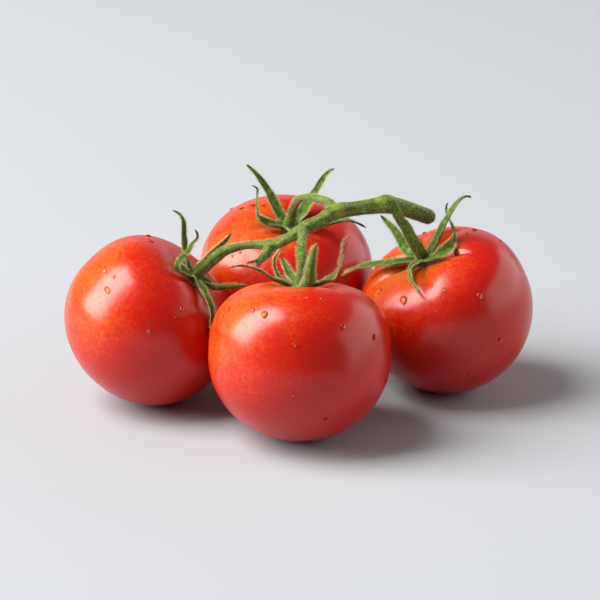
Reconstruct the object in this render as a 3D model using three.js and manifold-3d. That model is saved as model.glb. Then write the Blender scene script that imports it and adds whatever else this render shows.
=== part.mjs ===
// A truss of four ripe round tomatoes, lying on its fruits and still joined by its cut vine.
// Millimetres, +Z up. The origin is on the resting surface under the middle of the truss, and
// +X runs along its long side. Bearings are in degrees, counted from +X towards +Y.
import * as THREE from 'three';
import { mergeVertices } from 'three/addons/utils/BufferGeometryUtils.js';
import Module from 'manifold-3d';

// Each fruit: where its middle stands, how far its stem axis leans from upright and to which
// bearing, its largest radius, the heights of its crown and base as shares of that radius, the
// depth of its stem dimple, and the bearings and depth of the creases that run out of it.
// Each sepal: its length and largest width, and the bearing and rise of its midrib at its root,
// at 35 and 75 percent of its length and at its tip. Bearings and rises of creases and sepals
// are measured round the fruit's own stem axis.
const FRUITS = [
  {
    name: 'left', x: -58.0, y: -4.4, lean: 42, bearing: 354,
    radius: 32.7, crown: 0.88, base: 0.89, dimple: 4.0,
    creases: [20, 95, 160, 225, 300], creaseDepth: 0.5,
    sepals: [
      { length: 27, width: 4.0, bearing: [160, 200, 180, 150], rise: [35, 45, 50, -35] },
      { length: 32.5, width: 4.6, bearing: [245, 205, 275, 135], rise: [10, 15, 160, -10] },
      { length: 25.5, width: 3.6, bearing: [75, 80, 70, 95], rise: [20, 40, 40, 40] },
      { length: 21.5, width: 4.4, bearing: [365, 305, 325, 320], rise: [5, 45, 55, 50] },
      { length: 30.5, width: 4.4, bearing: [275, 290, 335, 280], rise: [0, 25, -45, -35] },
    ],
  },
  {
    name: 'front', x: -0.5, y: -40.2, lean: 14, bearing: 85,
    radius: 33.5, crown: 0.84, base: 0.93, dimple: 4.4,
    creases: [15, 80, 150, 215, 320], creaseDepth: 0.5,
    sepals: [
      { length: 28, width: 3.6, bearing: [190, 205, 215, 210], rise: [15, 35, 10, -20] },
      { length: 23, width: 3.8, bearing: [160, 140, 55, 105], rise: [5, 55, 40, -10] },
      { length: 22.5, width: 4.2, bearing: [115, 105, 110, 110], rise: [15, 25, 30, 15] },
      { length: 22.5, width: 4.8, bearing: [300, 270, 305, 290], rise: [15, 60, 75, 35] },
      { length: 29, width: 3.6, bearing: [345, 400, 425, 315], rise: [5, 40, 90, 5] },
    ],
  },
  {
    name: 'right', x: 56.3, y: 8.0, lean: 26, bearing: 205,
    radius: 32.7, crown: 0.83, base: 0.97, dimple: 3.8,
    creases: [42, 90, 145, 193, 272, 338], creaseDepth: 1.0,
    sepals: [
      { length: 33, width: 4.2, bearing: [190, 160, 185, 120], rise: [20, 10, 5, -60] },
      { length: 24.5, width: 4.4, bearing: [140, 100, 125, 115], rise: [5, 45, 40, 15] },
      { length: 30.5, width: 4.6, bearing: [25, 10, 25, 65], rise: [35, 45, 25, -70] },
      { length: 36, width: 4.6, bearing: [290, 410, 465, 425], rise: [25, 0, 40, -10] },
      { length: 23.5, width: 3.2, bearing: [240, 260, 285, 290], rise: [30, 5, -20, 25] },
    ],
  },
  {
    name: 'back', x: -6.2, y: 41.0, lean: 17, bearing: 285,
    radius: 34.3, crown: 0.865, base: 0.92, dimple: 4.9,
    creases: [10, 80, 145, 200, 265, 325], creaseDepth: 0.6,
    sepals: [
      { length: 27.5, width: 4.6, bearing: [140, 120, 165, 150], rise: [40, 35, 50, 25] },
      { length: 30, width: 4.4, bearing: [205, 200, 290, 180], rise: [15, 40, 125, 15] },
      { length: 28, width: 4.6, bearing: [50, 55, 55, 45], rise: [30, 35, 40, -10] },
      { length: 37.5, width: 4.0, bearing: [345, 315, 305, 355], rise: [15, 40, 35, -35] },
      { length: 12, width: 3.8, bearing: [280, 275, 270, 265], rise: [25, 15, 0, -20] },
    ],
  },
];

// Fruit surface: a rounded square section above the equator and an oval one below it.
const CROWN_ROUNDNESS = 2.7;
const BASE_ROUNDNESS = 2.0;
const DIMPLE_WIDTH = 9.2;
const BLOSSOM_TIP = { height: 0.6, width: 4.0 };
const CREASE_RING = { radius: 11.0, width: 6.5 };
const CREASE_SPREAD = 13;
const FLAT_SPOT_DEPTH = 0.4;
const FRUIT_SIDES = 32;
const FRUIT_ROWS = 22;
const CROWN_DETAIL = 1.5;

// Calyx: a low round receptacle in the dimple, with the sepals sunk into its side.
const RECEPTACLE = { radius: 4.2, foot: 1.1, top: 2.8, rim: 0.6, sides: 12 };
const SEPAL_KNOTS = [0, 0.35, 0.75, 1];
const SEPAL_ROOT = { radius: 3.0, height: 1.7 };
const SEPAL_TAPER = [[0, 0.85], [0.2, 1], [0.5, 0.74], [0.8, 0.44], [1, 0.22]];
const SEPAL_THICKNESS = [[0, 1.4], [0.25, 1.1], [0.5, 0.8], [1, 0.62]];
const SEPAL_CUP = 0.6;
const SEPAL_CUP_MIDDLE = 0.4;
const SEPAL_SKIN_GAP = 2.2;
const SEPAL_SKIN_REACH = 4.0;
const SEPAL_ROWS = 11;
const SEPAL_SIDES = 6;
const SEPAL_STEPS = 44;

// Vine: points are [x, y, z, radius]. The radius swells at the nodes and at the knuckle of
// each fruit's stalk. The main stalk runs from its cut end to the left fruit.
const MAIN_STALK = [
  [49.9, 17.8, 65.3, 2.9], [44.9, 13.5, 68.5, 2.9], [39.0, 7.0, 72.7, 3.0], [35.0, 2.0, 75.3, 3.1],
  [31.9, -1.0, 76.9, 3.5], [28.3, -2.0, 76.6, 3.0], [23.5, -3.5, 76.4, 2.7], [18.7, -5.0, 76.2, 2.7],
  [15.1, -6.5, 76.3, 2.9], [12.0, -8.0, 75.7, 3.0], [9.4, -9.5, 74.5, 2.5], [6.8, -11.0, 73.2, 2.2],
  [3.3, -13.0, 72.3, 2.3], [0.4, -14.0, 71.0, 2.3], [-3.1, -13.0, 68.3, 1.9], [-6.2, -12.0, 66.1, 1.9],
  [-8.9, -10.5, 64.5, 2.0], [-11.7, -9.5, 63.4, 2.3], [-14.3, -8.5, 63.3, 1.8], [-17.9, -7.0, 62.7, 1.5],
  [-21.0, -6.0, 62.1, 1.4], [-25.3, -5.5, 60.9, 1.6], [-28.6, -5.5, 59.7, 1.8], [-31.2, -5.6, 57.9, 2.1],
  [-34.0, -5.8, 55.4, 2.1], [-37.0, -6.0, 52.8, 2.3],
];
const FRUIT_STALKS = {
  front: [
    [0.7, -14.0, 71.2, 2.2], [0.8, -19.0, 70.3, 1.6], [0.5, -23.0, 69.4, 1.5], [0.0, -27.0, 67.7, 1.9],
    [0.3, -29.5, 65.8, 1.9], [0.3, -31.0, 63.6, 1.8], [0.1, -32.3, 60.6, 1.8],
  ],
  right: [
    [32.8, -1.8, 78.5, 2.4], [34.8, -2.0, 76.0, 1.7], [36.2, -2.2, 73.2, 1.8], [37.7, -2.0, 70.3, 1.8],
    [39.5, -1.5, 67.8, 2.1], [41.2, -0.6, 64.0, 2.1], [43.8, 1.0, 59.2, 2.3],
  ],
  back: [
    [12.2, -7.5, 76.5, 2.4], [10.5, -4.0, 78.3, 1.7], [6.9, 4.0, 77.2, 1.5], [3.9, 10.0, 76.0, 1.4],
    [1.2, 15.5, 74.2, 1.3], [-0.7, 20.0, 71.9, 1.4], [-2.0, 24.0, 69.0, 1.5], [-2.9, 27.5, 65.4, 1.7],
    [-3.5, 30.5, 61.4, 1.9],
  ],
};
const STALK_FLARE = 2.1;
const STALK_GAP = 0.35;
const WITHERED_SHOOT = [
  [
    [-11.5, -10.0, 63.4, 2.2], [-12.2, -12.0, 61.9, 1.9], [-13.7, -15.0, 61.0, 1.6],
    [-15.2, -18.0, 60.6, 1.3],
  ],
  [[-14.7, -17.6, 60.7, 1.0], [-16.9, -19.0, 60.6, 0.6], [-19.0, -20.5, 60.4, 0.4]],
  [[-14.9, -17.6, 60.5, 1.1], [-15.5, -19.0, 59.6, 0.8], [-16.2, -20.0, 58.8, 0.5]],
];
const STALK_SIDES = 10;
const SHOOT_SIDES = 6;
const ROWS_PER_SPAN = 2;

// Moves the whole truss so that the origin is under its middle.
const CENTRING = { x: 0.105, y: -0.727 };

const GREEN = { color: 0x56702c, roughness: 0.75, metalness: 0 };
const RED = { color: 0xc8200c, roughness: 0.22, metalness: 0 };

const wasm = await Module();
wasm.setup();

const radians = THREE.MathUtils.degToRad;

function between(table, share) {
  const next = table.findIndex(([at]) => at >= share);
  if (next <= 0) return table[Math.max(next, 0)][1];
  const [from, low] = table[next - 1];
  const [to, high] = table[next];
  return THREE.MathUtils.mapLinear(share, from, to, low, high);
}

// A closed solid from a three.js geometry, with its seams merged and empty triangles dropped.
function solidOf(geometry) {
  const bare = geometry.clone();
  bare.deleteAttribute('normal');
  bare.deleteAttribute('uv');
  const merged = mergeVertices(bare, 1e-4);
  const index = Array.from(merged.index.array);
  const triangles = [];
  for (let i = 0; i < index.length; i += 3) {
    const [a, b, c] = index.slice(i, i + 3);
    if (a !== b && b !== c && c !== a) triangles.push(a, b, c);
  }
  const mesh = new wasm.Mesh({
    numProp: 3,
    vertProperties: new Float32Array(merged.attributes.position.array),
    triVerts: new Uint32Array(triangles),
  });
  return new wasm.Manifold(mesh);
}

function geometryOf(solid) {
  const mesh = solid.getMesh();
  const geometry = new THREE.BufferGeometry();
  geometry.setAttribute('position', new THREE.BufferAttribute(new Float32Array(mesh.vertProperties), 3));
  geometry.setIndex(new THREE.BufferAttribute(new Uint32Array(mesh.triVerts), 1));
  geometry.computeVertexNormals();
  return geometry;
}

function joined(solids) {
  return solids.reduce((whole, solid) => whole.add(solid));
}

// The round section that is swept along a line: a cylinder whose rows are moved to the places
// in "rows". Each row gives a middle, a side and an upward direction with their half sizes, and
// how much the edges of the section lift.
function swept(rows, sides) {
  const geometry = new THREE.CylinderGeometry(1, 1, 1, sides, rows.length - 1);
  const position = geometry.attributes.position;
  const point = new THREE.Vector3();
  for (let i = 0; i < position.count; i += 1) {
    const [x, y, z] = [position.getX(i), position.getY(i), position.getZ(i)];
    const row = rows[Math.round((y + 0.5) * (rows.length - 1))];
    point.copy(row.middle);
    point.addScaledVector(row.side, x * row.halfWidth);
    point.addScaledVector(row.up, z * row.halfHeight + (x * x - SEPAL_CUP_MIDDLE) * row.lift);
    position.setXYZ(i, point.x, point.y, point.z);
  }
  return geometry;
}

// Height and radius of the skin at a share of the way from the stem end to the blossom end.
function skinPoint(fruit, share) {
  const turn = Math.PI * share;
  const top = Math.cos(turn) >= 0;
  const roundness = top ? CROWN_ROUNDNESS : BASE_ROUNDNESS;
  const rise = fruit.radius * (top ? fruit.crown : -fruit.base);
  const radius = fruit.radius * Math.abs(Math.sin(turn)) ** (2 / roundness);
  const height = rise * Math.abs(Math.cos(turn)) ** (2 / roundness);
  const dent = top
    ? -fruit.dimple * Math.exp(-((radius / DIMPLE_WIDTH) ** 2))
    : BLOSSOM_TIP.height * Math.exp(-((radius / BLOSSOM_TIP.width) ** 2));
  return { radius, height: height + dent };
}

// How far a point is outside the skin, in the fruit's own frame.
function skinDistance(fruit, point) {
  const radius = Math.hypot(point.x, point.y);
  const dent = point.z > 0 ? fruit.dimple * Math.exp(-((radius / DIMPLE_WIDTH) ** 2)) : 0;
  const height = point.z + dent;
  const top = height > 0;
  const roundness = top ? CROWN_ROUNDNESS : BASE_ROUNDNESS;
  const rise = fruit.radius * (top ? fruit.crown : fruit.base);
  const size = ((radius / fruit.radius) ** roundness + (Math.abs(height) / rise) ** roundness)
    ** (1 / roundness);
  return (Math.hypot(radius, height) * (size - 1)) / size;
}

function keptOffSkin(fruit, point) {
  const short = Math.max(SEPAL_SKIN_GAP - skinDistance(fruit, point), 0);
  return point.clone().addScaledVector(point.clone().normalize(), short);
}

// The stem axis points the way the fruit leans, and the fruit's own x stays nearest to +X.
function fruitFrame(fruit) {
  const lean = radians(fruit.lean);
  const bearing = radians(fruit.bearing);
  const axis = new THREE.Vector3(
    Math.sin(lean) * Math.cos(bearing),
    Math.sin(lean) * Math.sin(bearing),
    Math.cos(lean),
  );
  const across = new THREE.Vector3(1, 0, 0).addScaledVector(axis, -axis.x).normalize();
  const away = new THREE.Vector3().crossVectors(axis, across);
  let reach = 0;
  for (let share = 0; share <= 1; share += 1 / 360) {
    const { radius, height } = skinPoint(fruit, share);
    reach = Math.max(reach, radius * Math.sin(lean) - height * Math.cos(lean));
  }
  const frame = new THREE.Matrix4().makeBasis(across, away, axis);
  return frame.setPosition(fruit.x, fruit.y, reach - FLAT_SPOT_DEPTH);
}

// The surface that the truss rests on, as a block that cuts the flat spot into each fruit.
function surfaceBlock(frame) {
  const block = new THREE.BoxGeometry(100, 100, 20);
  block.translate(frame.elements[12], frame.elements[13], -10);
  return solidOf(block.applyMatrix4(frame.clone().invert()));
}

// How deep the creases are at a place on the crown.
function creaseDepthAt(fruit, x, y) {
  const ring = (Math.hypot(x, y) - CREASE_RING.radius) / CREASE_RING.width;
  const turns = fruit.creases.map((bearing) => {
    const turn = THREE.MathUtils.radToDeg(Math.atan2(y, x)) - bearing;
    return THREE.MathUtils.euclideanModulo(turn + 180, 360) - 180;
  });
  const folds = turns.map((turn) => Math.exp(-((turn / CREASE_SPREAD) ** 2)));
  return fruit.creaseDepth * Math.max(...folds) * Math.exp(-ring * ring);
}

function fruitSolid(fruit, frame) {
  const outline = [];
  for (let row = 0; row <= FRUIT_ROWS; row += 1) {
    const { radius, height } = skinPoint(fruit, (row / FRUIT_ROWS) ** CROWN_DETAIL);
    const onAxis = row === 0 || row === FRUIT_ROWS;
    outline.push(new THREE.Vector2(onAxis ? 0 : radius, height));
  }
  const geometry = new THREE.LatheGeometry(outline.reverse(), FRUIT_SIDES);
  geometry.rotateX(Math.PI / 2);
  const position = geometry.attributes.position;
  for (let i = 0; i < position.count; i += 1) {
    const [x, y, z] = [position.getX(i), position.getY(i), position.getZ(i)];
    if (z < 0) continue;
    position.setZ(i, z - creaseDepthAt(fruit, x, y));
  }
  return solidOf(geometry).subtract(surfaceBlock(frame));
}

function receptacle(fruit, swell) {
  const { radius, foot, top, rim, sides } = RECEPTACLE;
  const floor = skinPoint(fruit, 0).height;
  const outline = [
    [0, foot - swell], [radius - rim + swell, foot - swell], [radius + swell, foot + rim],
    [radius - rim + swell, top + swell], [0, top + swell],
  ];
  const points = outline.map(([across, up]) => new THREE.Vector2(across, floor + up));
  return solidOf(new THREE.LatheGeometry(points, sides).rotateX(Math.PI / 2));
}

// The midrib as a line of points, from the sepal's bearing and rise along its length.
function midrib(fruit, sepal) {
  const floor = skinPoint(fruit, 0).height;
  const start = radians(sepal.bearing[0]);
  const point = new THREE.Vector3(
    SEPAL_ROOT.radius * Math.cos(start),
    SEPAL_ROOT.radius * Math.sin(start),
    floor + SEPAL_ROOT.height,
  );
  const table = (values) => SEPAL_KNOTS.map((knot, i) => [knot, values[i]]);
  const [bearings, rises] = [table(sepal.bearing), table(sepal.rise)];
  const step = sepal.length / SEPAL_STEPS;
  const line = [point.clone()];
  for (let i = 0; i < SEPAL_STEPS; i += 1) {
    const share = (i + 0.5) / SEPAL_STEPS;
    const bearing = radians(between(bearings, share));
    const rise = radians(between(rises, share));
    point.x += step * Math.cos(rise) * Math.cos(bearing);
    point.y += step * Math.cos(rise) * Math.sin(bearing);
    point.z += step * Math.sin(rise);
    line.push(keptOffSkin(fruit, point));
  }
  return new THREE.CatmullRomCurve3(line);
}

function sepalSolid(fruit, sepal) {
  const curve = midrib(fruit, sepal);
  const up = new THREE.Vector3(0, 0, 1);
  const rows = [];
  for (let i = 0; i <= SEPAL_ROWS; i += 1) {
    const share = i / SEPAL_ROWS;
    const along = curve.getPointAt(share);
    const ahead = curve.getTangentAt(share);
    const nearSkin = Math.exp(-Math.max(skinDistance(fruit, along), 0) / SEPAL_SKIN_REACH);
    up.lerp(along.clone().normalize(), nearSkin);
    up.addScaledVector(ahead, -up.dot(ahead)).normalize();
    const halfWidth = (sepal.width * between(SEPAL_TAPER, share)) / 2;
    rows.push({
      middle: along,
      side: new THREE.Vector3().crossVectors(ahead, up),
      up: up.clone(),
      halfWidth,
      halfHeight: between(SEPAL_THICKNESS, share) / 2,
      lift: SEPAL_CUP * halfWidth,
    });
  }
  return solidOf(swept(rows, SEPAL_SIDES));
}

function calyxSolid(fruit) {
  return joined([receptacle(fruit, 0), ...fruit.sepals.map((sepal) => sepalSolid(fruit, sepal))]);
}

// A stalk swept through points whose fourth number is its radius there.
function stalkSolid(points, sides) {
  const curve = new THREE.CatmullRomCurve3(points.map(([x, y, z]) => new THREE.Vector3(x, y, z)));
  const spans = points.length - 1;
  const up = new THREE.Vector3(0.3, 0.4, 0.9);
  const rows = [];
  for (let i = 0; i <= spans * ROWS_PER_SPAN; i += 1) {
    const share = i / (spans * ROWS_PER_SPAN);
    const ahead = curve.getTangent(share);
    up.addScaledVector(ahead, -up.dot(ahead)).normalize();
    const radius = between(points.map((point, at) => [at / spans, point[3]]), share);
    rows.push({
      middle: curve.getPoint(share),
      side: new THREE.Vector3().crossVectors(ahead, up),
      up: up.clone(),
      halfWidth: radius,
      halfHeight: radius,
      lift: 0,
    });
  }
  return solidOf(swept(rows, sides));
}

// The last stretch of a fruit's stalk, down its stem axis into the receptacle.
function stalkEnd(fruit, frame) {
  const floor = skinPoint(fruit, 0).height;
  const end = new THREE.Vector3(0, 0, floor + RECEPTACLE.top - 0.5).applyMatrix4(frame);
  return [end.x, end.y, end.z, STALK_FLARE];
}

function vineSolid(placed) {
  const stalks = placed.map(({ fruit, frame }) => {
    const points = fruit.name === 'left' ? MAIN_STALK : FRUIT_STALKS[fruit.name];
    return stalkSolid([...points, stalkEnd(fruit, frame)], STALK_SIDES);
  });
  const shoots = WITHERED_SHOOT.map((points) => stalkSolid(points, SHOOT_SIDES));
  const sockets = placed.map(({ fruit, frame }) => (
    solidOf(geometryOf(receptacle(fruit, STALK_GAP)).applyMatrix4(frame))
  ));
  return joined([...stalks, ...shoots]).subtract(joined(sockets));
}

function namedMesh(name, solid, look) {
  const mesh = new THREE.Mesh(geometryOf(solid), new THREE.MeshStandardMaterial(look));
  mesh.name = name;
  return mesh;
}

const truss = new THREE.Group();
truss.position.set(CENTRING.x, CENTRING.y, 0);
const placed = FRUITS.map((fruit) => ({ fruit, frame: fruitFrame(fruit) }));
for (const { fruit, frame } of placed) {
  const place = new THREE.Group();
  frame.decompose(place.position, place.quaternion, place.scale);
  place.add(namedMesh(`tomato_${fruit.name}`, fruitSolid(fruit, frame), RED));
  place.add(namedMesh(`calyx_${fruit.name}`, calyxSolid(fruit), GREEN));
  truss.add(place);
}
truss.add(namedMesh('vine', vineSolid(placed), GREEN));

export default truss;
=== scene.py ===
"""A truss of four ripe tomatoes on a pale floor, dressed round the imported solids.

Forms are worked out in millimetres, in the same frame as the solids, and turned into metres
when a mesh is made. Bearings are in degrees from +X towards +Y, round the fruit's stem axis.
"""
import math
import bpy
import numpy as np
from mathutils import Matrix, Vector


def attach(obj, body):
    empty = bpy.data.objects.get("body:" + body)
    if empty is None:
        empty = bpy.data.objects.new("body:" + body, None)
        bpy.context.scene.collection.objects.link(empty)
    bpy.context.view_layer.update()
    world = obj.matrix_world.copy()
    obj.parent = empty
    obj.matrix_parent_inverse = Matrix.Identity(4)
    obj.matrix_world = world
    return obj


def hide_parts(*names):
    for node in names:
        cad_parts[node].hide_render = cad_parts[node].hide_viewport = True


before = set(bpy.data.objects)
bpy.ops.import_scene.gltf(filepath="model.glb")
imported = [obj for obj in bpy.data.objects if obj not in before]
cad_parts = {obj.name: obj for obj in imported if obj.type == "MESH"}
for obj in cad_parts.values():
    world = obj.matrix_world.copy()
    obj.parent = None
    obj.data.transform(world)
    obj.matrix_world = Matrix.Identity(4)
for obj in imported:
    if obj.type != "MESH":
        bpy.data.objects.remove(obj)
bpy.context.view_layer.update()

MM = 0.001


def blade(length, width, bearing, rise, dry, tip, twist=0, thin=None, shrink=0.35):
    """One sepal's figures: bearings and rises of its midrib at SEPAL_KNOTS, the share of its length
    from which it is dry, the tone of that tip, its twist in degrees, the share from which it has
    shrunk (where it dries, if none is given) and the share of its width that it lost.
    """
    return dict(
        length=length, width=width, bearing=bearing, rise=rise, dry=dry, tip=tip,
        twist=twist, thin=dry if thin is None else thin, shrink=shrink,
    )


# Each fruit: place of its middle, lean of the stem axis and its bearing, radius, crown and base
# as shares of the radius, dimple depth, bearings of the creases, depths of their wide and fine
# folds, and its sepals.
FRUITS = [
    dict(
        name="left", x=-58.0, y=-4.4, lean=42, bearing=354,
        radius=32.7, crown=0.88, base=0.89, dimple=4.0,
        creases=[20, 95, 160, 225, 300], crease_depth=0.3, fine_crease=0.0,
        sepals=[
            blade(27.0, 4.0, [160, 200, 180, 150], [35, 45, 50, -35], dry=0.9, tip="brown", twist=-50),
            blade(32.5, 4.6, [245, 205, 275, 135], [10, 15, 160, -10], dry=0.8, tip="brown"),
            blade(25.5, 3.6, [75, 80, 70, 95], [20, 40, 40, 40], dry=0.8, tip="brown"),
            blade(21.5, 4.4, [365, 305, 325, 320], [5, 45, 55, 50], dry=0.95, tip="brown"),
            blade(30.5, 4.4, [275, 290, 335, 280], [0, 25, -45, -35], dry=0.92, tip="pale"),
        ],
    ),
    dict(
        name="front", x=-0.5, y=-40.2, lean=14, bearing=85,
        radius=33.5, crown=0.84, base=0.93, dimple=4.4,
        creases=[15, 80, 150, 215, 320], crease_depth=0.5, fine_crease=0.1,
        sepals=[
            blade(
                28.0, 3.6, [190, 205, 215, 210], [15, 35, 10, -20], dry=0.55, tip="tan",
                thin=0.15, shrink=0.58,
            ),
            blade(
                23.0, 3.8, [160, 140, 55, 105], [5, 55, 40, -10], dry=0.4, tip="brown",
                thin=0.2, shrink=0.68,
            ),
            blade(22.5, 4.2, [115, 105, 110, 110], [15, 25, 30, 15], dry=0.85, tip="brown"),
            blade(22.5, 4.8, [300, 270, 305, 290], [15, 60, 75, 35], dry=0.95, tip="pale"),
            blade(
                29.0, 3.6, [345, 400, 425, 315], [5, 40, 90, 5], dry=0.42, tip="pale",
                thin=0.3, shrink=0.76,
            ),
        ],
    ),
    dict(
        name="right", x=56.3, y=8.0, lean=26, bearing=205,
        radius=32.7, crown=0.83, base=0.97, dimple=3.8,
        creases=[42, 90, 145, 193, 272, 338], crease_depth=1.0, fine_crease=0.9,
        sepals=[
            blade(33.0, 4.2, [190, 160, 185, 120], [20, 10, 5, -60], dry=0.7, tip="pale"),
            blade(24.5, 4.4, [140, 100, 125, 115], [5, 45, 40, 15], dry=0.82, tip="dark"),
            blade(30.5, 4.6, [25, 10, 25, 65], [35, 45, 25, -70], dry=0.85, tip="dark"),
            blade(
                36.0, 4.6, [290, 410, 465, 425], [25, 0, 40, -10], dry=0.75, tip="dark",
                twist=60, thin=0.4, shrink=0.5,
            ),
            blade(23.5, 3.2, [240, 260, 285, 290], [30, 5, -20, 25], dry=0.92, tip="dark", twist=50),
        ],
    ),
    dict(
        name="back", x=-6.2, y=41.0, lean=17, bearing=285,
        radius=34.3, crown=0.865, base=0.92, dimple=4.9,
        creases=[10, 80, 145, 200, 265, 325], crease_depth=0.6, fine_crease=0.2,
        sepals=[
            blade(27.5, 4.6, [140, 120, 165, 150], [40, 35, 50, 25], dry=0.9, tip="brown"),
            blade(
                30.0, 4.4, [205, 200, 290, 180], [15, 40, 125, 15], dry=0.85, tip="brown",
                twist=-40, thin=0.35, shrink=0.55,
            ),
            blade(28.0, 4.6, [50, 55, 55, 45], [30, 35, 40, -10], dry=0.9, tip="brown"),
            blade(37.5, 4.0, [345, 315, 305, 355], [15, 40, 35, -35], dry=0.72, tip="dark"),
            blade(12.0, 3.8, [280, 275, 270, 265], [25, 15, 0, -20], dry=0.9, tip="brown"),
        ],
    ),
]

# Fruit surface, as in the solids, with finer rows and a fine fold in each crease.
CROWN_ROUNDNESS = 2.7
BASE_ROUNDNESS = 2.0
DIMPLE_WIDTH = 9.2
BLOSSOM_HEIGHT = 0.6
BLOSSOM_WIDTH = 4.0
CREASE_RADIUS = 11.0
CREASE_WIDTH = 6.5
CREASE_SPREAD = 13.0
FINE_CREASE_RADIUS = 15.0
FINE_CREASE_WIDTH = 8.5
FINE_CREASE_SPREAD = 6.0
FLAT_SPOT_DEPTH = 0.4
PROFILE_POINTS = 361
FRUIT_SIDES = 224
FRUIT_ROWS = 150
# Above 1, the rows are closer together at the stem end.
CROWN_DETAIL = 1.5
# A gentle unevenness of the skin: direction and frequency, phase and height of each wave.
FRUIT_WAVES = [
    ((0.09, 0.05, 0.02), 0.4, 0.12), ((-0.05, 0.11, 0.06), 1.9, 0.1), ((0.13, -0.08, 0.12), 4.0, 0.06),
]
# The side roughly towards the main light, towards which the skin is painted more orange: painted light.
PAINTED_LIGHT_SIDE = (-0.75, -0.25, 0.6)
# Where the main light comes from.
LIT_FROM = (-0.73, -0.08, 0.68)

# Receptacle, as in the solids, with a slight ripple round its rim.
RECEPTACLE_RADIUS = 4.2
RECEPTACLE_FOOT = 1.1
RECEPTACLE_TOP = 2.8
RECEPTACLE_RIM = 0.6
RECEPTACLE_SHOULDER_IN = 0.2
RECEPTACLE_SHOULDER_DOWN = 0.45
RECEPTACLE_MIDDLE = 0.02
RECEPTACLE_SIDES = 60
RECEPTACLE_LOBES = 5
RECEPTACLE_RIPPLE = 0.04

# Sepals, as in the solids, with finer rows.
SEPAL_KNOTS = [0, 0.35, 0.75, 1]
SEPAL_ROOT_RADIUS = 3.0
SEPAL_ROOT_HEIGHT = 1.7
SEPAL_TAPER = ([0, 0.2, 0.5, 0.8, 1], [0.85, 1, 0.74, 0.44, 0.22])
SEPAL_THICKNESS = ([0, 0.25, 0.5, 1], [1.4, 1.1, 0.8, 0.62])
SEPAL_CUP = 0.6
SEPAL_CUP_MIDDLE = 0.4
SEPAL_SKIN_GAP = 2.2
SEPAL_SKIN_REACH = 4.0
SEPAL_FRAMES = 11
SEPAL_STEPS = 44
SEPAL_ROWS = 60
SEPAL_SIDES = 20
# Weights of a point and its neighbours when the midrib is made smooth, and how many times.
MIDRIB_SMOOTHING = (0.25, 0.5, 0.25)
MIDRIB_ROUNDS = 2
# What the solids leave out of a sepal. Starts and reaches are shares of its length.
SEPAL_SECTION = 1.3
SEPAL_TIP_ROUNDING = 0.04
SEPAL_TIP_WIDTH = 0.25
SEPAL_TIP_HEIGHT = 0.3
SEPAL_EDGE_WAVE = 0.16
SEPAL_EDGE_WAVES = 0.75
SEPAL_KEEL = 0.28
SEPAL_GROOVE = 0.35 * SEPAL_KEEL
SEPAL_KEEL_WIDTH = 0.22
SEPAL_TWIST_START = 0.2
SEPAL_TWIST_REACH = 0.3
SEPAL_SHRINK_REACH = 0.2
SEPAL_DRY_REACH = 0.12
TIP_TONES = {"brown": 0.0, "dark": 0.5, "tan": 0.8, "pale": 1.0}

# Vine: points are x, y, z and radius.
MAIN_STALK = [
    (49.9, 17.8, 65.3, 2.9), (44.9, 13.5, 68.5, 2.9), (39.0, 7.0, 72.7, 3.0), (35.0, 2.0, 75.3, 3.1),
    (31.9, -1.0, 76.9, 3.5), (28.3, -2.0, 76.6, 3.0), (23.5, -3.5, 76.4, 2.7), (18.7, -5.0, 76.2, 2.7),
    (15.1, -6.5, 76.3, 2.9), (12.0, -8.0, 75.7, 3.0), (9.4, -9.5, 74.5, 2.5), (6.8, -11.0, 73.2, 2.2),
    (3.3, -13.0, 72.3, 2.3), (0.4, -14.0, 71.0, 2.3), (-3.1, -13.0, 68.3, 1.9), (-6.2, -12.0, 66.1, 1.9),
    (-8.9, -10.5, 64.5, 2.0), (-11.7, -9.5, 63.4, 2.3), (-14.3, -8.5, 63.3, 1.8), (-17.9, -7.0, 62.7, 1.5),
    (-21.0, -6.0, 62.1, 1.4), (-25.3, -5.5, 60.9, 1.6), (-28.6, -5.5, 59.7, 1.8), (-31.2, -5.6, 57.9, 2.1),
    (-34.0, -5.8, 55.4, 2.1), (-37.0, -6.0, 52.8, 2.3),
]
FRUIT_STALKS = {
    "left": MAIN_STALK,
    "front": [
        (0.7, -14.0, 71.2, 2.2), (0.8, -19.0, 70.3, 1.6), (0.5, -23.0, 69.4, 1.5), (0.0, -27.0, 67.7, 1.9),
        (0.3, -29.5, 65.8, 1.9), (0.3, -31.0, 63.6, 1.8), (0.1, -32.3, 60.6, 1.8),
    ],
    "right": [
        (32.8, -1.8, 78.5, 2.4), (34.8, -2.0, 76.0, 1.7), (36.2, -2.2, 73.2, 1.8), (37.7, -2.0, 70.3, 1.8),
        (39.5, -1.5, 67.8, 2.1), (41.2, -0.6, 64.0, 2.1), (43.8, 1.0, 59.2, 2.3),
    ],
    "back": [
        (12.2, -7.5, 76.5, 2.4), (10.5, -4.0, 78.3, 1.7), (6.9, 4.0, 77.2, 1.5), (3.9, 10.0, 76.0, 1.4),
        (1.2, 15.5, 74.2, 1.3), (-0.7, 20.0, 71.9, 1.4), (-2.0, 24.0, 69.0, 1.5), (-2.9, 27.5, 65.4, 1.7),
        (-3.5, 30.5, 61.4, 1.9),
    ],
}
WITHERED_SHOOT = [
    [
        (-11.5, -10.0, 63.4, 2.2), (-12.2, -12.0, 61.9, 1.9), (-13.7, -15.0, 61.0, 1.6),
        (-15.2, -18.0, 60.6, 1.3),
    ],
    [(-14.7, -17.6, 60.7, 1.0), (-16.9, -19.0, 60.6, 0.6), (-19.0, -20.5, 60.4, 0.4)],
    [(-14.9, -17.6, 60.5, 1.1), (-15.5, -19.0, 59.6, 0.8), (-16.2, -20.0, 58.8, 0.5)],
]
STALK_FLARE = 2.1
STALK_SINK = 0.2
STALK_SIDES = 28
STALK_RIB_COUNT = 6
STALK_RIB = 0.035
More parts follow.
